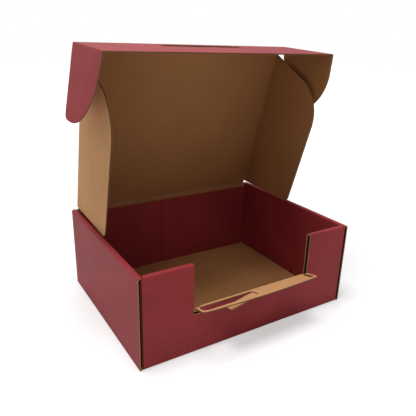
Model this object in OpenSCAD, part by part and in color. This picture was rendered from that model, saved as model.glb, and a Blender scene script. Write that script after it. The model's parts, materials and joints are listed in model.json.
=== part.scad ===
// Suitcase box: one die-cut sheet of thin corrugated board, folded into a tray with
// rolled double walls, a lid with side ears, a tuck flap with ears and a handle flap.
// Millimetres. The box stands on its base, centred on the origin, front towards -Y.

/* [Box] */
// Outside width, left to right
box_w = 300; // [240:1:360]
// Outside depth, front to back
box_d = 224; // [190:1:280]
// Outside height of the walls
box_h = 112; // [104:1:150]
// Thickness of the board
board = 1.5; // [1.2:0.1:2]

/* [Walls] */
// Thickness of the rolled side and front walls, over both layers
wall = 6.8; // [6.2:0.1:9]
// Radius of the rolled top edges
roll_r = 2.4; // [1.6:0.1:3]
// Length of the corner flaps hidden inside the side walls
corner_flap_len = 70; // [40:1:85]
// How far the wings that line the back wall stay below its top
wing_drop = 6; // [4:0.5:30]
// Where the two back wings meet, from the middle
wing_seam_x = -14; // [-40:1:40]
// Gap between the two back wings
wing_gap = 0.8; // [0.4:0.1:2]

/* [Tabs and slots] */
// Tabs along the foot of each side lining
side_tabs = 7; // [3:1:7]
// Distance from the front or back of the box to the middle of the nearest side tab
side_tab_in = 25; // [22:0.5:36]
// Tabs along the foot of the front lining
front_tabs = 5; // [2:1:6]
// Distance from a side of the box to the middle of the nearest front tab
front_tab_in = 62; // [30:1:62]
// Width of a tab
tab_w = 12; // [8:0.5:16]
// Length of a slot in the base
slot_len = 19; // [18:0.5:22]
// Width of a slot in the base
slot_w = 3; // [2.4:0.1:4]
// Height of the small notch in the side lining behind each tab
notch_h = 3; // [1:0.5:5]

/* [Front cut-out] */
// Width of the cut-out
cut_w = 168; // [120:1:180]
// Height of the handle crease above the ground
crease_z = 58; // [46:0.5:70]
// Width of the relief notch at each end of the crease
notch_w = 8; // [5:0.5:12]
// Depth of the relief notches below the crease
notch_deep = 8.7; // [5:0.1:12]

/* [Handle flap] */
// Length of the handle flap from its crease
handle_len = 26; // [22:0.5:34]
// How far the ends of its free edge fall back in a shallow arc
handle_bow = 4; // [1:0.5:6]
// Angle of the handle flap above level
handle_tilt = 14; // [0:1:40]
// Width of the rim round the hand hole
handle_rim = 3.2; // [2:0.1:5]
// Length of the open part of the hand hole
hole_len = 74; // [50:1:90]
// Length of the small hole at the other end
end_hole_len = 6.5; // [5:0.5:12]
// Length of the tongue that hangs in the hand hole
tongue_len = 40; // [20:1:48]
// Angle at which the tongue hangs
tongue_drop = 10; // [4:1:16]

/* [Lid] */
// Gap between the shut tuck flap and the front wall
front_gap = 3; // [1:0.1:5]
// How far the lid leans forward from upright
lid_lean = 16.8; // [0:0.1:30]
// Gap between the lid's ears and the side walls when shut
ear_gap = 0.5; // [0.4:0.1:2]
// How far the shut lid's ears stay above the ground
ear_clear = 7; // [4:1:20]
// Height at which the ears start above the hinge
ear_foot = 4; // [3:0.5:10]
// How far the ear's lower edge rises to its corner
ear_rise = 24; // [10:1:40]
// Radius of the ear's large front corner
ear_round = 52; // [30:1:60]
// Radius of the ear's small corner
ear_corner = 10; // [5:1:16]
// How far the top of the ear stays below the front crease
ear_top_gap = 10; // [6:0.5:16]
// How far the ear's top edge slopes away from the front crease
ear_top_slope = 14; // [4:1:20]

/* [Tuck flap] */
// How far the shut tuck flap stays above the ground
flap_clear = 16; // [10:1:30]
// How far the tuck flap stands open from square to the lid
flap_open = 12.8; // [0:0.1:60]
// Width of the hand slot
slot_hand_w = 112; // [80:1:130]
// Height of the hand slot
slot_hand_h = 20; // [16:1:26]
// Distance from the front crease to the hand slot
slot_hand_in = 13; // [8:1:30]
// Gap between the tuck ears and the outside of the side walls
tuck_gap = 0.45; // [0.4:0.05:3]
// Length of the tuck ears
tuck_ear_len = 81; // [60:1:90]
// Radius of the sweeping front corner of the tuck ears
tuck_ear_round = 60; // [30:1:70]
// Radius of the small corner of the tuck ears
tuck_ear_corner = 10; // [6:1:16]
// How far the back edge of a tuck ear slants in
tuck_ear_slant = 18; // [8:1:24]
// How far the left tuck ear stands out from square
left_tuck_open = 13; // [0:1:40]

/* [Creases] */
// Clearance between panels at a crease
crease_gap = 0.3; // [0.25:0.05:0.5]

/* [Hidden] */
$fn = 48;

burgundy = [0.48, 0.16, 0.19];
kraft = [0.72, 0.52, 0.36];

half_w = box_w / 2;
half_d = box_d / 2;
half_board = board / 2;
inner_w = half_w - wall;                  // inner face of a side wall
front_end = inner_w + 2 * board;          // end of the front and back panels
edge_gap = half_board + crease_gap;       // from a crease's axis to the parent's edge
under_top = 2 * board;                    // hidden layers stop this far below the top
side_tab_pitch = (box_d - 2 * side_tab_in) / (side_tabs - 1);
front_tab_pitch = (box_w - 2 * front_tab_in) / (front_tabs - 1);
slot_shift = (slot_len - tab_w) / 2 - 1;  // side slots reach further back than their tabs
round_in = roll_r - board / 2;

hinge_y = half_d - half_board;
hinge_z = box_h + crease_gap + half_board;
lid_len = hinge_y + half_d + front_gap + half_board;
ear_len = box_h - ear_clear;
flap_depth = box_h - flap_clear;
ear_x = inner_w - ear_gap - board;        // inner face of a lid ear, on its crease
tuck_x = half_w + tuck_gap + half_board;  // middle of a tuck ear
crease_y = -half_d + half_board;
crease_half = cut_w / 2 - notch_w;
cut_fit = 0.5;                            // side play of the handle flap in the cut-out
tongue_root = 3;                          // how far the tongue's bend reaches past the hand hole

// Points of an arc, from angle a0 to a1 about a centre
function arc(cx, cy, r, a0, a1, n = 10) =
    [for (i = [0:n]) [cx + r * cos(a0 + (a1 - a0) * i / n), cy + r * sin(a0 + (a1 - a0) * i / n)]];

// Outline of a rolled wall: outer layer on the right, open at the foot, top at height h
module rolled_profile(thick, h, foot_out, foot_in) {
    difference() {
        union() {
            translate([-thick + roll_r, foot_in]) square([thick - 2 * roll_r, h - foot_in]);
            translate([-roll_r, foot_out]) square([roll_r, h - roll_r - foot_out]);
            translate([-thick, foot_in]) square([roll_r, h - roll_r - foot_in]);
            translate([-roll_r, h - roll_r]) circle(roll_r);
            translate([-thick + roll_r, h - roll_r]) circle(roll_r);
        }
        translate([-thick + board, -1]) square([thick - 2 * board, h - board - round_in + 1]);
        translate([-thick + board + round_in, 0]) square([thick - 2 * (board + round_in), h - board]);
        translate([-board - round_in, h - board - round_in]) circle(round_in);
        translate([-thick + board + round_in, h - board - round_in]) circle(round_in);
    }
}

// Bend from the base up into a wall, seen in section, outside corner at the origin
module foot_bend() {
    difference() {
        union() {
            translate([-board, board]) circle(board);
            translate([-2 * board, 0]) square([board, board]);
            translate([-board, board]) square([board, board]);
        }
        translate([-3 * board, board]) square([2 * board, 2 * board]);
    }
}

module slot_row(count, pitch, len, width) {
    for (i = [0:count - 1])
        translate([-width / 2, (i - (count - 1) / 2) * pitch - len / 2, -1]) cube([width, len, board + 2]);
}

module tab_row(count, pitch) {
    for (i = [0:count - 1])
        translate([-board / 2, (i - (count - 1) / 2) * pitch - tab_w / 2, 0]) cube([board, tab_w, board + 0.5]);
}

// One side wall: outer panel, rolled top and lining, with its tabs in the base
module side_wall() {
    lining_y = -half_d + wall - board;
    translate([half_w, half_d, 0]) rotate([90, 0, 0]) linear_extrude(box_d) foot_bend();
    translate([half_w, half_d, 0]) rotate([90, 0, 0])
        linear_extrude(box_d) rolled_profile(wall, box_h, board, box_h - roll_r - 1);
    difference() {
        translate([inner_w, lining_y, board])
            cube([board, half_d - board - lining_y, box_h - board - roll_r]);
        for (i = [0:side_tabs - 1])
            translate([inner_w - 1, (i - (side_tabs - 1) / 2) * side_tab_pitch + tab_w / 2, 0])
                cube([board + 2, slot_len / 2 - tab_w / 2 + slot_shift, board + notch_h]);
    }
    translate([inner_w + half_board, 0, 0]) tab_row(side_tabs, side_tab_pitch);
}

// Wing of a side lining that turns in along the back wall
module back_wing(from_x, to_x) {
    translate([from_x, half_d - 2 * board, board])
        cube([to_x - from_x, board, box_h - wing_drop - board]);
}

// Corner flap at one end of the front or back panel, hidden in the side wall
module corner_flap() {
    translate([front_end - board, -half_d + board, 2 * board])
        cube([board, corner_flap_len - board, box_h - 2 * board - under_top]);
    translate([front_end - board, -half_d + board, 2 * board])
        cylinder(r = board, h = box_h - 2 * board - under_top);
}

// Outer panel of the front wall, with the bend from the base
module front_panel() {
    translate([-front_end, -half_d, 0]) rotate([90, 0, 90])
        mirror([1, 0, 0]) linear_extrude(2 * front_end) foot_bend();
    translate([-front_end + board, -half_d, board])
        cube([2 * (front_end - board), board, box_h - board - under_top]);
}

// Rolled top and lining of the front wall, with its tabs in the base
module front_lining() {
    translate([-inner_w, -half_d, 0]) rotate([90, 0, 90]) mirror([1, 0, 0])
        linear_extrude(2 * inner_w) rolled_profile(wall, box_h, box_h - roll_r - 4, board);
    translate([0, -half_d + wall - half_board, 0]) rotate([0, 0, 90]) tab_row(front_tabs, front_tab_pitch);
}

// Everything that the cut-out and the relief notches take from the front wall
module front_cut() {
    notch_z = crease_z - notch_deep;
    translate([-cut_w / 2, -half_d - 1, crease_z - edge_gap]) cube([cut_w, wall + 2, box_h]);
    translate([-cut_w / 2, -half_d + board + 0.1, notch_z]) cube([cut_w, wall + 2, box_h]);
    for (side = [-1, 1])
        translate([side * (crease_half + notch_w / 2) - notch_w / 2, -half_d - 1, notch_z])
            cube([notch_w, wall + 2, box_h]);
}

module tray() {
    color(burgundy)
    union() {
        difference() {
            translate([-half_w + board, -half_d + board, 0])
                cube([box_w - 2 * board, box_d - 2 * board, board]);
            for (side = [-1, 1]) translate([side * (inner_w + half_board), slot_shift, 0])
                slot_row(side_tabs, side_tab_pitch, slot_len, slot_w);
            translate([0, -half_d + wall - half_board, 0]) rotate([0, 0, 90])
                slot_row(front_tabs, front_tab_pitch, slot_len, slot_w);
        }
        for (side = [0, 1]) mirror([side, 0, 0]) {
            side_wall();
            corner_flap();
            mirror([0, 1, 0]) corner_flap();
        }
        difference() {
            union() {
                front_panel();
                front_lining();
            }
            front_cut();
        }
        mirror([0, 1, 0]) front_panel();
        translate([-inner_w, half_d - board, board]) cube([2 * inner_w, board, box_h - board]);
        back_wing(-inner_w, wing_seam_x - wing_gap / 2);
        back_wing(wing_seam_x + wing_gap / 2, inner_w);
    }
}

// Moves its children into the lid's own frame: up along the lid, inside face to -Y
module on_lid() {
    translate([0, hinge_y, hinge_z]) rotate([lid_lean, 0, 0]) children();
}

module lid_panel() {
    color(kraft) on_lid() {
        translate([-ear_x + crease_gap, 0, 0]) rotate([0, 90, 0])
            cylinder(d = board, h = 2 * (ear_x - crease_gap));
        translate([-ear_x + crease_gap, -half_board, 0])
            cube([2 * (ear_x - crease_gap), board, lid_len - edge_gap]);
    }
}

// Outline of a lid ear: x is the reach out of the lid, y runs along the lid
function lid_ear_outline() = let (
        top = lid_len - ear_top_gap,
        rise_angle = atan2(ear_rise, ear_len),
        slope_angle = atan2(ear_top_slope, ear_len)
    ) concat(
        [[0, top], [0, ear_foot]],
        arc(ear_len - ear_corner, ear_foot + ear_rise + ear_corner, ear_corner, rise_angle - 90, 0, 6),
        arc(ear_len - ear_round, top - ear_top_slope - ear_round * 0.95, ear_round, 0, 90 - slope_angle * 2, 14)
    );

// A board standing on edge across X: an outline's x runs to -Y and its y to +Z
module upright_board(points) {
    mirror([0, 1, 0]) rotate([90, 0, 90]) linear_extrude(board) polygon(points);
}

// A lid ear on the right side, folded in at its crease on the lid's inside face
module lid_ear() {
    translate([ear_x, -half_board, 0]) {
        translate([0, -crease_gap, 0]) upright_board(lid_ear_outline());
        translate([0, 0, ear_foot]) intersection() {
            cylinder(r = board, h = lid_len - ear_top_gap - ear_foot);
            translate([board * 0.2, -board, -1]) cube([board, 2 * board, lid_len]);
        }
    }
}

module lid_ear_right() {
    color(kraft) on_lid() lid_ear();
}

module lid_ear_left() {
    color(kraft) on_lid() mirror([1, 0, 0]) lid_ear();
}

// Moves its children to the front crease: the flap runs to -Y, its ears hang to -Z
module on_flap() {
    on_lid() translate([0, 0, lid_len]) rotate([-flap_open, 0, 0]) children();
}

module tuck_flap() {
    half = tuck_x - edge_gap;
    color(burgundy) on_flap() {
        translate([-half, 0, 0]) rotate([0, 90, 0]) cylinder(d = board, h = 2 * half);
        difference() {
            translate([-half, -flap_depth, -half_board]) cube([2 * half, flap_depth, board]);
            translate([0, -slot_hand_in - slot_hand_h / 2, -board]) linear_extrude(2 * board) {
                square([slot_hand_w - slot_hand_h, slot_hand_h], center = true);
                for (side = [-1, 1])
                    translate([side * (slot_hand_w - slot_hand_h) / 2, 0]) circle(slot_hand_h / 2);
            }
        }
    }
}

// Outline of a tuck ear: x runs along the flap from the front crease, y hangs down
function tuck_ear_outline() = concat(
    [[1, 0], [2, -8]],
    arc(tuck_ear_slant + tuck_ear_corner - 2, -tuck_ear_len + tuck_ear_corner, tuck_ear_corner, 190, 270, 6),
    arc(flap_depth - tuck_ear_round, -tuck_ear_len + tuck_ear_round, tuck_ear_round, -90, 0, 18),
    [[flap_depth, 0]]
);

// A tuck ear on the right side, turned out from square by an angle
module tuck_ear(turn) {
    translate([tuck_x, 0, 0]) rotate([0, -turn, 0]) {
        translate([0, -1, 0]) rotate([90, 0, 0]) cylinder(d = board, h = flap_depth - 1);
        translate([-half_board, 0, 0]) upright_board(tuck_ear_outline());
    }
}

module tuck_ear_right() {
    color(burgundy) on_flap() tuck_ear(0);
}

module tuck_ear_left() {
    color(burgundy) on_flap() mirror([1, 0, 0]) tuck_ear(left_tuck_open);
}

// Outline of the handle flap, x across and y out from the crease
function handle_outline() = let (
        half = cut_w / 2 - cut_fit,
        neck = crease_half - crease_gap,
        tip = handle_len - handle_bow,
        r = 4,
        bow_r = (half * half + handle_bow * handle_bow) / (2 * handle_bow),
        bow_a = asin((half - r) / bow_r)
    ) concat(
        [[-neck, 0], [-neck, 2.4], [-half, 2.4]],
        arc(-half + r, tip - r, r, 180, 90 + bow_a, 5),
        arc(0, handle_len - bow_r, bow_r, 90 + bow_a, 90 - bow_a, 20),
        arc(half - r, tip - r, r, 90 - bow_a, 0, 5),
        [[half, 2.4], [neck, 2.4], [neck, 0]]
    );

module rounded_slot(x0, x1, y0, y1, r) {
    translate([x0, y0 + r]) square([x1 - x0, y1 - y0 - 2 * r]);
    translate([x0 + r, y0]) square([x1 - x0 - 2 * r, y1 - y0]);
    for (x = [x0 + r, x1 - r], y = [y0 + r, y1 - r]) translate([x, y]) circle(r);
}

module handle_flap() {
    half = cut_w / 2 - cut_fit;
    hole_y0 = handle_rim + half_board;
    hole_y1 = handle_len - handle_bow - handle_rim;
    hole_x0 = -half + handle_rim;
    hole_x1 = hole_x0 + hole_len;
    color(kraft) translate([0, crease_y, crease_z]) rotate([-handle_tilt, 0, 0]) {
        translate([-crease_half + crease_gap, 0, 0]) rotate([0, 90, 0])
            cylinder(d = board, h = 2 * (crease_half - crease_gap));
        translate([0, 0, -half_board]) mirror([0, 1, 0]) linear_extrude(board) difference() {
            polygon(handle_outline());
            rounded_slot(hole_x0, hole_x1, hole_y0, hole_y1, 5);
            rounded_slot(half - handle_rim - end_hole_len, half - handle_rim, hole_y0, hole_y1, 3);
        }
        translate([hole_x1 + tongue_root, 0, -half_board]) rotate([0, -tongue_drop, 0])
            translate([-tongue_len - tongue_root, -hole_y1 + 1, -half_board])
                cube([tongue_len + tongue_root, hole_y1 - hole_y0 - 2, board]);
    }
}

tray();
lid_panel();
lid_ear_left();
lid_ear_right();
tuck_flap();
tuck_ear_left();
tuck_ear_right();
handle_flap();
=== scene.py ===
import json
import math
import bpy
import bmesh
from mathutils import Matrix, Vector


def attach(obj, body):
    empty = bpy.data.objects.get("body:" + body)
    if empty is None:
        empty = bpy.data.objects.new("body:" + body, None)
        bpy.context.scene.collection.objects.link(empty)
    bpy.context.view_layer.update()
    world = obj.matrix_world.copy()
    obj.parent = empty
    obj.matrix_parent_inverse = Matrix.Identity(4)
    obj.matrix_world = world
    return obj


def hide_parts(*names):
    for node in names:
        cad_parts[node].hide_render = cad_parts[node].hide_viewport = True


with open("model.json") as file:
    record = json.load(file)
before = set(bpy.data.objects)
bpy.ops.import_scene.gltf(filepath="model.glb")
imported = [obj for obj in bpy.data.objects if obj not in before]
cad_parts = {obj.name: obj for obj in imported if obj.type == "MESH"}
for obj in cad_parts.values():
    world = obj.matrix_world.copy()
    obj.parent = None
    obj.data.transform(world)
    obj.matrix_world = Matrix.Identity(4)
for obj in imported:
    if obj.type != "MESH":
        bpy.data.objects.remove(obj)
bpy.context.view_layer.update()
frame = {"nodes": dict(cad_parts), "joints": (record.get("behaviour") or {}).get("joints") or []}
joints = {j["name"]: j for j in frame["joints"]}
print("frame loaded")

black = (0.0, 0.0, 0.0, 1.0)
white = (1.0, 1.0, 1.0, 1.0)


class Wire:
    # One output socket, with sums that make Math nodes
    def __init__(self, graph, socket):
        self.graph = graph
        self.socket = socket

    def __add__(self, other):
        return self.graph.math("ADD", self, other)

    def __radd__(self, other):
        return self.graph.math("ADD", other, self)

    def __sub__(self, other):
        return self.graph.math("SUBTRACT", self, other)

    def __rsub__(self, other):
        return self.graph.math("SUBTRACT", other, self)

    def __mul__(self, other):
        return self.graph.math("MULTIPLY", self, other)

    def __rmul__(self, other):
        return self.graph.math("MULTIPLY", other, self)

    def above(self, edge, soft):
        # 0 below the edge, 1 above it, with a soft step between
        return self.graph.node(
            "ShaderNodeMapRange",
            {"interpolation_type": "SMOOTHSTEP"},
            {"Value": self, "From Min": edge - soft, "From Max": edge + soft},
        )


class Graph:
    # The nodes of a material or of the world
    def __init__(self, owner, shader="Principled BSDF"):
        owner.use_nodes = True
        self.owner = owner
        self.tree = owner.node_tree
        self.shader = self.tree.nodes[shader]

    def connect(self, value, socket):
        if isinstance(value, Wire):
            self.tree.links.new(value.socket, socket)
        else:
            socket.default_value = value

    def node(self, kind, settings=None, inputs=None, output=0):
        made = self.tree.nodes.new(kind)
        for key, value in (settings or {}).items():
            setattr(made, key, value)
        for key, value in (inputs or {}).items():
            self.connect(value, made.inputs[key])
        return Wire(self, made.outputs[output])

    def math(self, operation, a, b=0.0):
        return self.node("ShaderNodeMath", {"operation": operation}, {0: a, 1: b})

    def mix(self, factor, a, b):
        # Colours: a where the factor is 0, b where it is 1
        return self.node(
            "ShaderNodeMix", {"data_type": "RGBA"},
            {"Factor": factor, 6: a, 7: b}, output=2,
        )

    def noise(self, where, scale, detail=3.0, rough=0.55):
        return self.node(
            "ShaderNodeTexNoise", {},
            {"Vector": where, "Scale": scale, "Detail": detail, "Roughness": rough},
        )

    def place(self):
        return self.node("ShaderNodeTexCoord", output="Object")

    def board(self):
        # The board's own directions in metres: across the flutes, along them, through the board
        return self.parts(self.node(
            "ShaderNodeAttribute", {"attribute_name": "board"}, output="Vector",
        ))

    def parts(self, vector):
        # The three numbers of a vector
        split = self.node("ShaderNodeSeparateXYZ", {}, {0: vector})
        return [Wire(self, socket) for socket in split.socket.node.outputs]

    def bump(self, height, strength, distance):
        return self.node(
            "ShaderNodeBump", {},
            {"Height": height, "Strength": strength, "Distance": distance},
        )

    def set(self, **inputs):
        for key, value in inputs.items():
            self.connect(value, self.shader.inputs[key.replace("_", " ")])
        return self.owner


def darker(colour, share):
    return tuple(c * share for c in colour[:3]) + (1.0,)


fluteLook = {
    "pitch": 0.0033,          # one wave of the flutes
    "board": 0.0015,          # thickness of the board
    "liner": 0.00022,         # thickness of each paper liner
    "washboard": 0.00002,     # how far the flutes show through the liners
    "waveInset": 0.00008,     # how far the wave's middle line stays off the liners
    "waveHalf": 0.00016,      # half the thickness of the wavy paper
    "waveSoft": 0.00007,      # softness of its sides in the cut
    "linerSoft": 0.00005,     # softness of the liners' sides in the cut
    "creaseReach": 0.62,      # how far a crease's round edge reaches, in board thicknesses
    "cutDepth": 0.00015,      # how far the gaps between the papers sink in the cut
}


def fluteWave(graph, across):
    # From -1 to 1 and back, once for each flute
    return graph.math("SINE", across * (2 * math.pi / fluteLook["pitch"]))


printLook = {
    "cloud": 14.0,            # scales of the noises
    "grain": 900.0,
    "rub": 160.0,
    "deep": 0.80,             # the ink's darker patches, as a share of it
    # painted shade: how far the ink darkens in stripes along the flutes
    "fluteShade": 0.12,
    "rubFrom": 0.76,          # small spots where the ink is rubbed
    "rubSoft": 0.05,
    "rubAmount": 0.25,
    "roughness": 0.45,
    "grainRoughness": 0.12,
    "specular": 0.13,
    "bump": 0.6,
}


def printedLiner(name, ink, paper):
    look = printLook
    graph = Graph(bpy.data.materials.new(name))
    where = graph.place()
    cloud = graph.noise(where, look["cloud"], 4.0)
    grain = graph.noise(where, look["grain"], 2.0)
    rubbed = graph.noise(where, look["rub"], 5.0, 0.7).above(look["rubFrom"], look["rubSoft"])
    flutes = fluteWave(graph, graph.board()[0])
    deep = darker(ink, look["deep"])
    tone = graph.mix(cloud.above(0.5, 0.20), deep, ink)
    # painted shade: darker ink in stripes along the flutes
    tone = graph.mix(flutes.above(0.3, 0.7) * look["fluteShade"], tone, deep)
    tone = graph.mix(rubbed * look["rubAmount"], tone, paper)
    height = flutes * 0.5 + grain * 0.25
    return graph.set(
        Base_Color=tone,
        Roughness=look["roughness"] + grain * look["grainRoughness"],
        Specular_IOR_Level=look["specular"],
        Normal=graph.bump(height, look["bump"], fluteLook["washboard"]),
    )


kraftLook = {
    "cloud": 18.0,            # scales of the noises
    "fleck": 520.0,
    "fibreAcross": 2600.0,
    "fibreAlong": 380.0,
    "fleckFrom": 0.70,        # dark flecks in the paper
    "fleckSoft": 0.04,
    "fleckAmount": 0.25,
    "fleckShade": 0.55,
    "valleyShade": 0.72,      # painted shade: the liner is darker between the flutes
    "fluteShade": 0.30,
    "roughness": 0.78,
    "fibreRoughness": 0.12,
    "specular": 0.15,
    "bump": 0.7,
}


def kraftLiner(name, light, dark):
    look = kraftLook
    graph = Graph(bpy.data.materials.new(name))
    across, along, through = graph.board()
    where = graph.place()
    cloud = graph.noise(where, look["cloud"], 5.0)
    stretched = graph.node("ShaderNodeCombineXYZ", {}, {
        0: across * look["fibreAcross"],
        1: along * look["fibreAlong"],
        2: through * look["fibreAcross"],
    })
    fibre = graph.noise(stretched, 1.0, 3.0, 0.7)
    fleck = graph.noise(where, look["fleck"], 2.0, 0.8).above(look["fleckFrom"], look["fleckSoft"])
    flutes = fluteWave(graph, across)
    tone = graph.mix(cloud.above(0.5, 0.25) * 0.5 + fibre * 0.5, dark, light)
    tone = graph.mix(fleck * look["fleckAmount"], tone, darker(dark, look["fleckShade"]))
    # painted shade: the liner turns darker in stripes along the flutes
    valley = darker(dark, look["valleyShade"])
    tone = graph.mix(flutes.above(0.3, 0.7) * look["fluteShade"], tone, valley)
    height = flutes * 0.5 + fibre * 0.35
    return graph.set(
        Base_Color=tone,
        Roughness=look["roughness"] + fibre * look["fibreRoughness"],
        Specular_IOR_Level=look["specular"],
        Normal=graph.bump(height, look["bump"], fluteLook["washboard"]),
    )


def cutEdge(name, paper, shade):
    # The cut through the board: two liners with the wave of the fluting between them
    look = fluteLook
    graph = Graph(bpy.data.materials.new(name))
    across, _, through = graph.board()
    middle = look["board"] / 2
    swing = middle - look["liner"]
    wave = fluteWave(graph, across) * (swing - look["waveInset"])
    fromWave = graph.math("ABSOLUTE", through - middle - wave)
    fromMiddle = graph.math("ABSOLUTE", through - middle)
    onWave = 1.0 - fromWave.above(look["waveHalf"], look["waveSoft"])
    onLiner = fromMiddle.above(swing, look["linerSoft"])
    solid = graph.math("MAXIMUM", onWave, onLiner)
    fibre = graph.noise(graph.place(), 1400.0, 3.0)
    return graph.set(
        Base_Color=graph.mix(solid, shade, graph.mix(fibre, darker(paper, 0.8), paper)),
        Roughness=0.9,
        Specular_IOR_Level=0.2,
        Normal=graph.bump(solid, 0.5, look["cutDepth"]),
    )


# Where a paper has two colours, they are its light and its dark
papers = {
    "ink": (0.335, 0.037, 0.042, 1.0),
    "inside": ((0.43, 0.205, 0.080, 1.0), (0.36, 0.165, 0.060, 1.0)),     # the inner liner
    "outside": ((0.66, 0.350, 0.165, 1.0), (0.57, 0.290, 0.125, 1.0)),    # a lighter copy of the same kraft, painted light for the kraft faces that face out into the light
    "edge": (0.38, 0.20, 0.090, 1.0),
    "edgeShade": (0.05, 0.024, 0.011, 1.0),
    "hollowShade": ((0.070, 0.030, 0.012, 1.0), (0.040, 0.016, 0.006, 1.0)),   # kraft painted nearly black, as painted shade deep inside the rolled walls
}

finishes = [
    printedLiner("burgundyPrint", papers["ink"], papers["inside"][1]),
    kraftLiner("kraftInside", *papers["inside"]),
    cutEdge("cutEdge", papers["edge"], papers["edgeShade"]),
    # painted light: a lighter copy of the kraft for the kraft faces that face out
    kraftLiner("kraftLitOutside", *papers["outside"]),
    # painted shade: a nearly black copy of the kraft for the faces deep inside the wall cavities
    kraftLiner("hollowWallShade", *papers["hollowShade"]),
]
printed, kraft, cut, kraftLit, hollowShade = range(5)
print("materials made")


meshLook = {
    "weld": 1e-6,
    "flatTo": 0.4,            # degrees: faces this close to one plane are joined
    "crush": 0.00016,         # width of the crushed edge of cut board
    "crushFrom": 50.0,        # degrees
    "smoothTo": 32.0,         # degrees
}

# How square a face has to be to a direction, as the normal's share along it
facing = 0.7
facingFully = 0.9


def addObject(name, data):
    made = bpy.data.objects.new(name, data)
    bpy.context.scene.collection.objects.link(made)
    return made


def copyOfNode(node):
    # A bmesh of the CAD node with its flat faces joined again
    shape = bmesh.new()
    shape.from_mesh(frame["nodes"][node].data)
    bmesh.ops.remove_doubles(shape, verts=shape.verts[:], dist=meshLook["weld"])
    bmesh.ops.dissolve_limit(
        shape, angle_limit=math.radians(meshLook["flatTo"]),
        verts=shape.verts[:], edges=shape.edges[:], use_dissolve_boundaries=False,
    )
    return shape


def softenEdges(shape):
    # Cut board has a slightly crushed edge
    limit = math.radians(meshLook["crushFrom"])
    sharp = [e for e in shape.edges if e.is_manifold and e.calc_face_angle(0.0) > limit]
    bmesh.ops.bevel(
        shape, geom=sharp, offset=meshLook["crush"], offset_type="OFFSET", segments=1, profile=0.5,
        affect="EDGES", material=-1, clamp_overlap=True,
    )


def finishPiece(shape, name, body, nodes):
    limit = math.radians(meshLook["smoothTo"])
    for face in shape.faces:
        face.smooth = True
    for edge in shape.edges:
        edge.smooth = edge.is_manifold and edge.calc_face_angle(0.0) < limit
    mesh = bpy.data.meshes.new(name)
    shape.to_mesh(mesh)
    shape.free()
    piece = addObject(name, mesh)
    for finish in finishes:
        mesh.materials.append(finish)
    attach(piece, body)
    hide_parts(*nodes)


def flatAxes(shape, outside, flutes):
    # The board's outward direction and the direction of its flutes, from its largest face
    largest = max(shape.faces, key=lambda f: f.calc_area())
    outward = largest.normal.copy()
    if outward.dot(Vector(outside)) < 0:
        outward.negate()
    along = Vector(flutes)
    along = (along - outward * along.dot(outward)).normalized()
    return outward, along


def distanceToAxis(point, jointName):
    joint = joints[jointName]
    axis = Vector(joint["axis"]).normalized()
    offset = point - Vector(joint["pos_m"])
    return (offset - axis * offset.dot(axis)).length


def dressBoard(shape, outward, along, papersOfFaces, crease):
    # Gives each face its paper and writes the board's own directions at its corners
    outer, inner = papersOfFaces
    layer = shape.loops.layers.float_vector.new("board")
    across = outward.cross(along)
    lowest = min(v.co.dot(outward) for v in shape.verts)
    creaseReach = fluteLook["board"] * fluteLook["creaseReach"]
    for face in shape.faces:
        level = face.normal.dot(outward)
        atFluteEnds = abs(face.normal.dot(along))
        folded = (
            distanceToAxis(face.calc_center_median(), crease) < creaseReach
            and atFluteEnds < facing
        )
        if level > facing or (folded and level > -0.2):
            face.material_index = outer
        elif level < -facing or folded:
            face.material_index = inner
        else:
            face.material_index = cut
        # A cut along the flutes shows no wave
        showsWave = atFluteEnds > 0.5 or face.material_index != cut
        for loop in face.loops:
            co = loop.vert.co
            wave = co.dot(across) if showsWave else 0.0
            loop[layer] = Vector((wave, co.dot(along), co.dot(outward) - lowest))


# Each flap's papers are its outside and its inside
# painted light: the lid ears' outer faces and the handle's top use the lighter copy of the kraft
flaps = {
    "lidPanel": {
        "node": "lid_panel", "body": "lid", "outside": (0, 1, 0.3), "flutes": (1, 0, 0),
        "papers": (printed, kraft), "crease": "lid_hinge", "slot": "burgundy_board",
    },
    "lidEarLeft": {
        "node": "lid_ear_left", "body": "lid_ear_left", "outside": (-1, 0, 0), "flutes": (0, -1, -0.3),
        "papers": (kraftLit, kraft), "crease": "lid_ear_left_crease", "slot": "kraft_board",
    },
    "lidEarRight": {
        "node": "lid_ear_right", "body": "lid_ear_right", "outside": (1, 0, 0), "flutes": (0, -1, -0.3),
        "papers": (kraftLit, kraft), "crease": "lid_ear_right_crease", "slot": "kraft_board",
    },
    "tuckFlap": {
        "node": "tuck_flap", "body": "tuck_flap", "outside": (0, 0, 1), "flutes": (1, 0, 0),
        "papers": (printed, kraft), "crease": "tuck_flap_crease", "slot": "burgundy_board",
    },
    "tuckEarLeft": {
        "node": "tuck_ear_left", "body": "tuck_ear_left", "outside": (-1, 0, 0.2), "flutes": (0, 0.1, 1),
        "papers": (printed, kraft), "crease": "tuck_ear_left_crease", "slot": "burgundy_board",
    },
    "tuckEarRight": {
        "node": "tuck_ear_right", "body": "tuck_ear_right", "outside": (1, 0, 0), "flutes": (0, 0.1, 1),
        "papers": (printed, kraft), "crease": "tuck_ear_right_crease", "slot": "burgundy_board",
    },
    "handleFlap": {
        "node": "handle_flap", "body": "handle_flap", "outside": (0, 0, -1), "flutes": (1, 0, 0),
        "papers": (printed, kraftLit), "crease": "handle_flap_crease", "slot": "kraft_board",
    },
}

for name, flap in flaps.items():
    shape = copyOfNode(flap["node"])
    outward, along = flatAxes(shape, flap["outside"], flap["flutes"])
    softenEdges(shape)
    dressBoard(shape, outward, along, flap["papers"], flap["crease"])
    finishPiece(shape, name, flap["body"], [flap["node"]])
print("flaps made")


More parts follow.
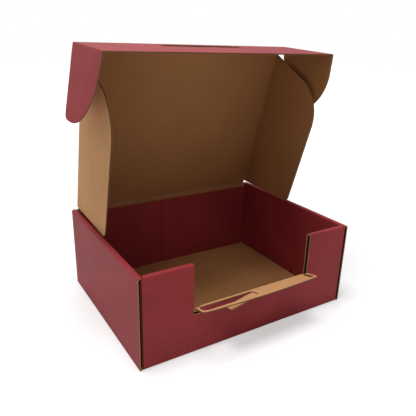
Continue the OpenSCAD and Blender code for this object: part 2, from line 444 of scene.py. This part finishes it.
trayLook = {
    "halfWidth": 0.150,
    "halfDepth": 0.112,
    "wall": 0.0068,           # rolled walls, over both layers
    "frontEnd": 0.1462,       # ends of the front and back panels
    "cutOut": 0.084,          # half width of the front cut-out
    "rollTop": 0.1095,        # the hidden layers end below this
    "rollEdge": 0.7,          # and the hollow ends this far above it, in board thicknesses
    "baseReach": 1.2,         # a base face lies lower than this, in board thicknesses
    "backReach": 2.2,         # and a face of the back panel this near the back
    "wingTop": 0.106,         # the back panel is bare board above the wings
    "fine": 0.0002,           # slack for a face that lies on a border
    "hair": 0.00001,          # keeps a cut off the edge of the cut-out
}


def cutAlongBorders(shape):
    # Splits the faces where one paper or one wall meets the next
    look = trayLook
    board = fluteLook["board"]
    planes = [((0, 0, 1), height) for height in (board, look["wingTop"], look["rollTop"])]
    borders = {
        (1, 0, 0): (
            look["halfWidth"] - look["wall"], look["frontEnd"],
            look["halfWidth"] - board, look["cutOut"] - look["hair"],
        ),
        (0, 1, 0): (
            look["halfDepth"] - look["wall"], look["halfDepth"] - 2 * board,
            look["halfDepth"] - board,
        ),
    }
    sides = [
        (normal, place * side)
        for normal, places in borders.items() for place in places for side in (-1, 1)
    ]
    for normal, place in sides + planes:
        bmesh.ops.bisect_plane(
            shape, geom=shape.verts[:] + shape.edges[:] + shape.faces[:], dist=1e-7,
            plane_co=Vector(normal) * place, plane_no=normal,
        )


def betweenLayers(depth, height):
    # Inside the hollow of a rolled wall, by the depth from its outside
    look = trayLook
    board = fluteLook["board"]
    return (
        board - look["fine"] < depth < look["wall"] - board + look["fine"]
        and height < look["rollTop"] + board * look["rollEdge"]
    )


def paperOfTray(centre, normal):
    look = trayLook
    board = fluteLook["board"]
    fine = look["fine"]
    x, y, z = abs(centre.x), centre.y, centre.z
    inSide = x > look["halfWidth"] - look["wall"] - fine
    inFront = y < -look["halfDepth"] + look["wall"] + fine
    inBack = y > look["halfDepth"] - 2 * board - fine
    inBase = z < board + fine
    nearSlots = x < look["halfWidth"] - 2 * board and abs(y) < look["halfDepth"] - 2 * board
    if inBase and normal.z > facingFully:
        return kraft                                        # floor of the tray
    if inBase and normal.z > -facingFully and nearSlots:
        return cut                                          # inside the slots
    if inSide:
        depth = look["halfWidth"] - x
        atEnd = abs(y) > look["halfDepth"] - fine
        if abs(normal.y) > facingFully:
            if atEnd and x > look["frontEnd"] - fine:
                return cut                                  # cut ends of the side walls
            if abs(y) < look["halfDepth"] - fine and z < look["rollTop"]:
                return cut                                  # cut ends of the hidden layers
        # painted shade: faces inside the hollow of a rolled side wall get the nearly black kraft
        if betweenLayers(depth, z):
            onLayer = abs(normal.x) > 0.3 or normal.z < -0.3
            atPanelEnd = abs(depth - (look["halfWidth"] - look["frontEnd"])) <= fine
            if onLayer and not atPanelEnd:
                return hollowShade
        return printed
    if inFront:
        if abs(normal.x) > facing and x < look["cutOut"] + fine:
            return cut                                      # layers seen at the cut-out
        if normal.z > facing and z < look["rollTop"]:
            return cut
        # painted shade: faces inside the hollow of the front wall get the nearly black kraft
        return hollowShade if betweenLayers(y + look["halfDepth"], z) else printed
    if inBack and normal.y < -facing and z > look["wingTop"]:
        return kraft                                        # strip above the wings
    if inBack and normal.z > facing and z < look["rollTop"]:
        return cut                                          # upper edges of the wings
    return printed


def dressTray(shape):
    # Gives each face its paper and writes the board's own directions at its corners
    layer = shape.loops.layers.float_vector.new("board")
    look = trayLook
    board = fluteLook["board"]
    layerStep = look["wall"] - board
    for face in shape.faces:
        centre = face.calc_center_median()
        face.material_index = paperOfTray(centre, face.normal)
        isCut = face.material_index == cut
        inBase = abs(face.normal.z) > facing and centre.z < board * look["baseReach"]
        inSide = abs(centre.x) > look["halfWidth"] - look["wall"] - look["fine"]
        inBack = centre.y > look["halfDepth"] - board * look["backReach"]
        closed = isCut and abs(face.normal.z) > facing      # a cut along the flutes shows no wave
        for loop in face.loops:
            x, y, z = loop.vert.co
            if inSide:
                through = (look["halfWidth"] - abs(x)) % layerStep
                loop[layer] = Vector((0.0 if isCut else y, z, through))
            elif inBase:
                loop[layer] = Vector((y, x, z))
            elif inBack:
                loop[layer] = Vector((0.0 if closed else x, z, look["halfDepth"] - y))
            else:
                through = (y + look["halfDepth"]) % layerStep
                loop[layer] = Vector((0.0 if closed else z, x, through))


shape = copyOfNode("tray")
cutAlongBorders(shape)
dressTray(shape)
finishPiece(shape, "tray", "tray", ["tray"])
print("tray made")


stageLook = {
    "floor": (0.88, 0.88, 0.88, 1.0),
    "floorSeen": (0.66, 0.66, 0.66, 1.0),     # the part of the floor's white that the shadow takes away
    "floorWhite": (0.42, 0.42, 0.42, 1.0),    # and the part that stays, as the camera sees it
    # painted shadow: the floor's colour under the box
    "shadowUnderBox": (0.004, 0.003, 0.002, 1.0),
    "shadowInset": 0.003,                      # the painted shadow ends this far inside the box
    "shadowSoft": 0.001,
    "size": 6.0,
    "drop": 0.0002,                           # keeps the floor off the box's own base
    "whiteFrom": 0.30,                        # past the box's shadow the floor turns to plain white
    "whiteTo": 1.9,
}


def makeFloor():
    look = stageLook
    shape = bmesh.new()
    bmesh.ops.create_grid(shape, x_segments=1, y_segments=1, size=look["size"])
    mesh = bpy.data.meshes.new("floor")
    shape.to_mesh(mesh)
    shape.free()
    floor = addObject("floor", mesh)
    floor.location.z = -look["drop"]
    graph = Graph(bpy.data.materials.new("paleFloor"))
    seen = graph.node("ShaderNodeLightPath", output="Is Camera Ray")
    where = graph.place()
    x, y = graph.parts(where)[:2]
    inset, soft = look["shadowInset"], look["shadowSoft"]
    pastSide = graph.math("ABSOLUTE", x).above(trayLook["halfWidth"] - inset, soft)
    pastEnd = graph.math("ABSOLUTE", y).above(trayLook["halfDepth"] - inset, soft)
    lit = graph.math("MAXIMUM", pastSide, pastEnd)          # painted shadow: the floor under the box is coloured nearly black, as no light gets there
    paint = graph.mix(seen, look["floor"], look["floorSeen"])
    distance = graph.node(
        "ShaderNodeVectorMath", {"operation": "LENGTH"}, {0: where}, output="Value",
    )
    middle = (look["whiteFrom"] + look["whiteTo"]) / 2
    far = distance.above(middle, middle - look["whiteFrom"])
    # painted shadow: the white that only the camera sees is also taken away under the box
    glow = graph.mix(far, graph.mix(lit, black, look["floorWhite"]), white)
    mesh.materials.append(graph.set(
        # painted shadow: the floor is nearly black under the box
        Base_Color=graph.mix(lit, look["shadowUnderBox"], paint),
        Roughness=0.9,
        Specular_IOR_Level=0.0,
        Emission_Color=graph.mix(seen, black, glow),        # only the camera sees this white
        Emission_Strength=1.0,
    ))


domeLook = {
    "horizon": 0.28,
    "zenith": 0.50,
    "rise": 0.5,              # half the height over which one turns into the other
    "right": -0.03,           # a little brighter on the left
    "behind": 0.42,           # and brighter behind the box
    "behindFrom": 0.5,
    "behindSoft": 0.3,
}


def makeWorld():
    # A soft dome, which the camera sees as plain white
    look = domeLook
    world = bpy.data.worlds.new("studio")
    bpy.context.scene.world = world
    graph = Graph(world, "Background")
    x, y, z = graph.parts(graph.node("ShaderNodeTexCoord", output="Generated"))
    overhead = z.above(look["rise"], look["rise"])
    behind = y.above(look["behindFrom"], look["behindSoft"])
    light = look["horizon"] + overhead * (look["zenith"] - look["horizon"])
    light = light + x * look["right"] + behind * look["behind"]
    seen = graph.node("ShaderNodeLightPath", output="Is Camera Ray")
    graph.set(Color=graph.mix(seen, light, white))


softboxLook = {
    "place": (-0.24, -0.08, 1.4),
    "aim": (0, 0, 0.1),
    "size": 0.55,
    "power": 12.0,
}


def makeSoftbox():
    look = softboxLook
    data = bpy.data.lights.new("softbox", "AREA")
    data.shape = "DISK"
    data.size = look["size"]
    data.energy = look["power"]
    lamp = addObject("softbox", data)
    lamp.location = look["place"]
    toBox = Vector(look["aim"]) - lamp.location
    lamp.rotation_euler = toBox.to_track_quat("-Z", "Y").to_euler()


cameraFit = {
    "place": (-0.305554, -0.486547, 0.335170),
    "forward": (0.501456, 0.794488, -0.342535),
    "roll": 1.623,            # degrees
    "focal": 456.13 / 416,    # in image widths
    "sensor": 36.0,
}


def makeCamera():
    forward = Vector(cameraFit["forward"]).normalized()
    right = forward.cross(Vector((0, 0, 1))).normalized()
    up = right.cross(forward)
    turn = math.radians(cameraFit["roll"])
    side = right * math.cos(turn) + up * math.sin(turn)
    top = up * math.cos(turn) - right * math.sin(turn)
    data = bpy.data.cameras.new("photoView")
    data.sensor_width = cameraFit["sensor"]
    data.lens = cameraFit["focal"] * cameraFit["sensor"]
    camera = addObject("photoView", data)
    turned = Matrix((side, top, -forward)).transposed().to_4x4()
    camera.matrix_world = Matrix.Translation(cameraFit["place"]) @ turned
    bpy.context.scene.camera = camera


makeFloor()
makeWorld()
makeSoftbox()
makeCamera()
bpy.context.scene.view_settings.view_transform = "Standard"
print("stage made")
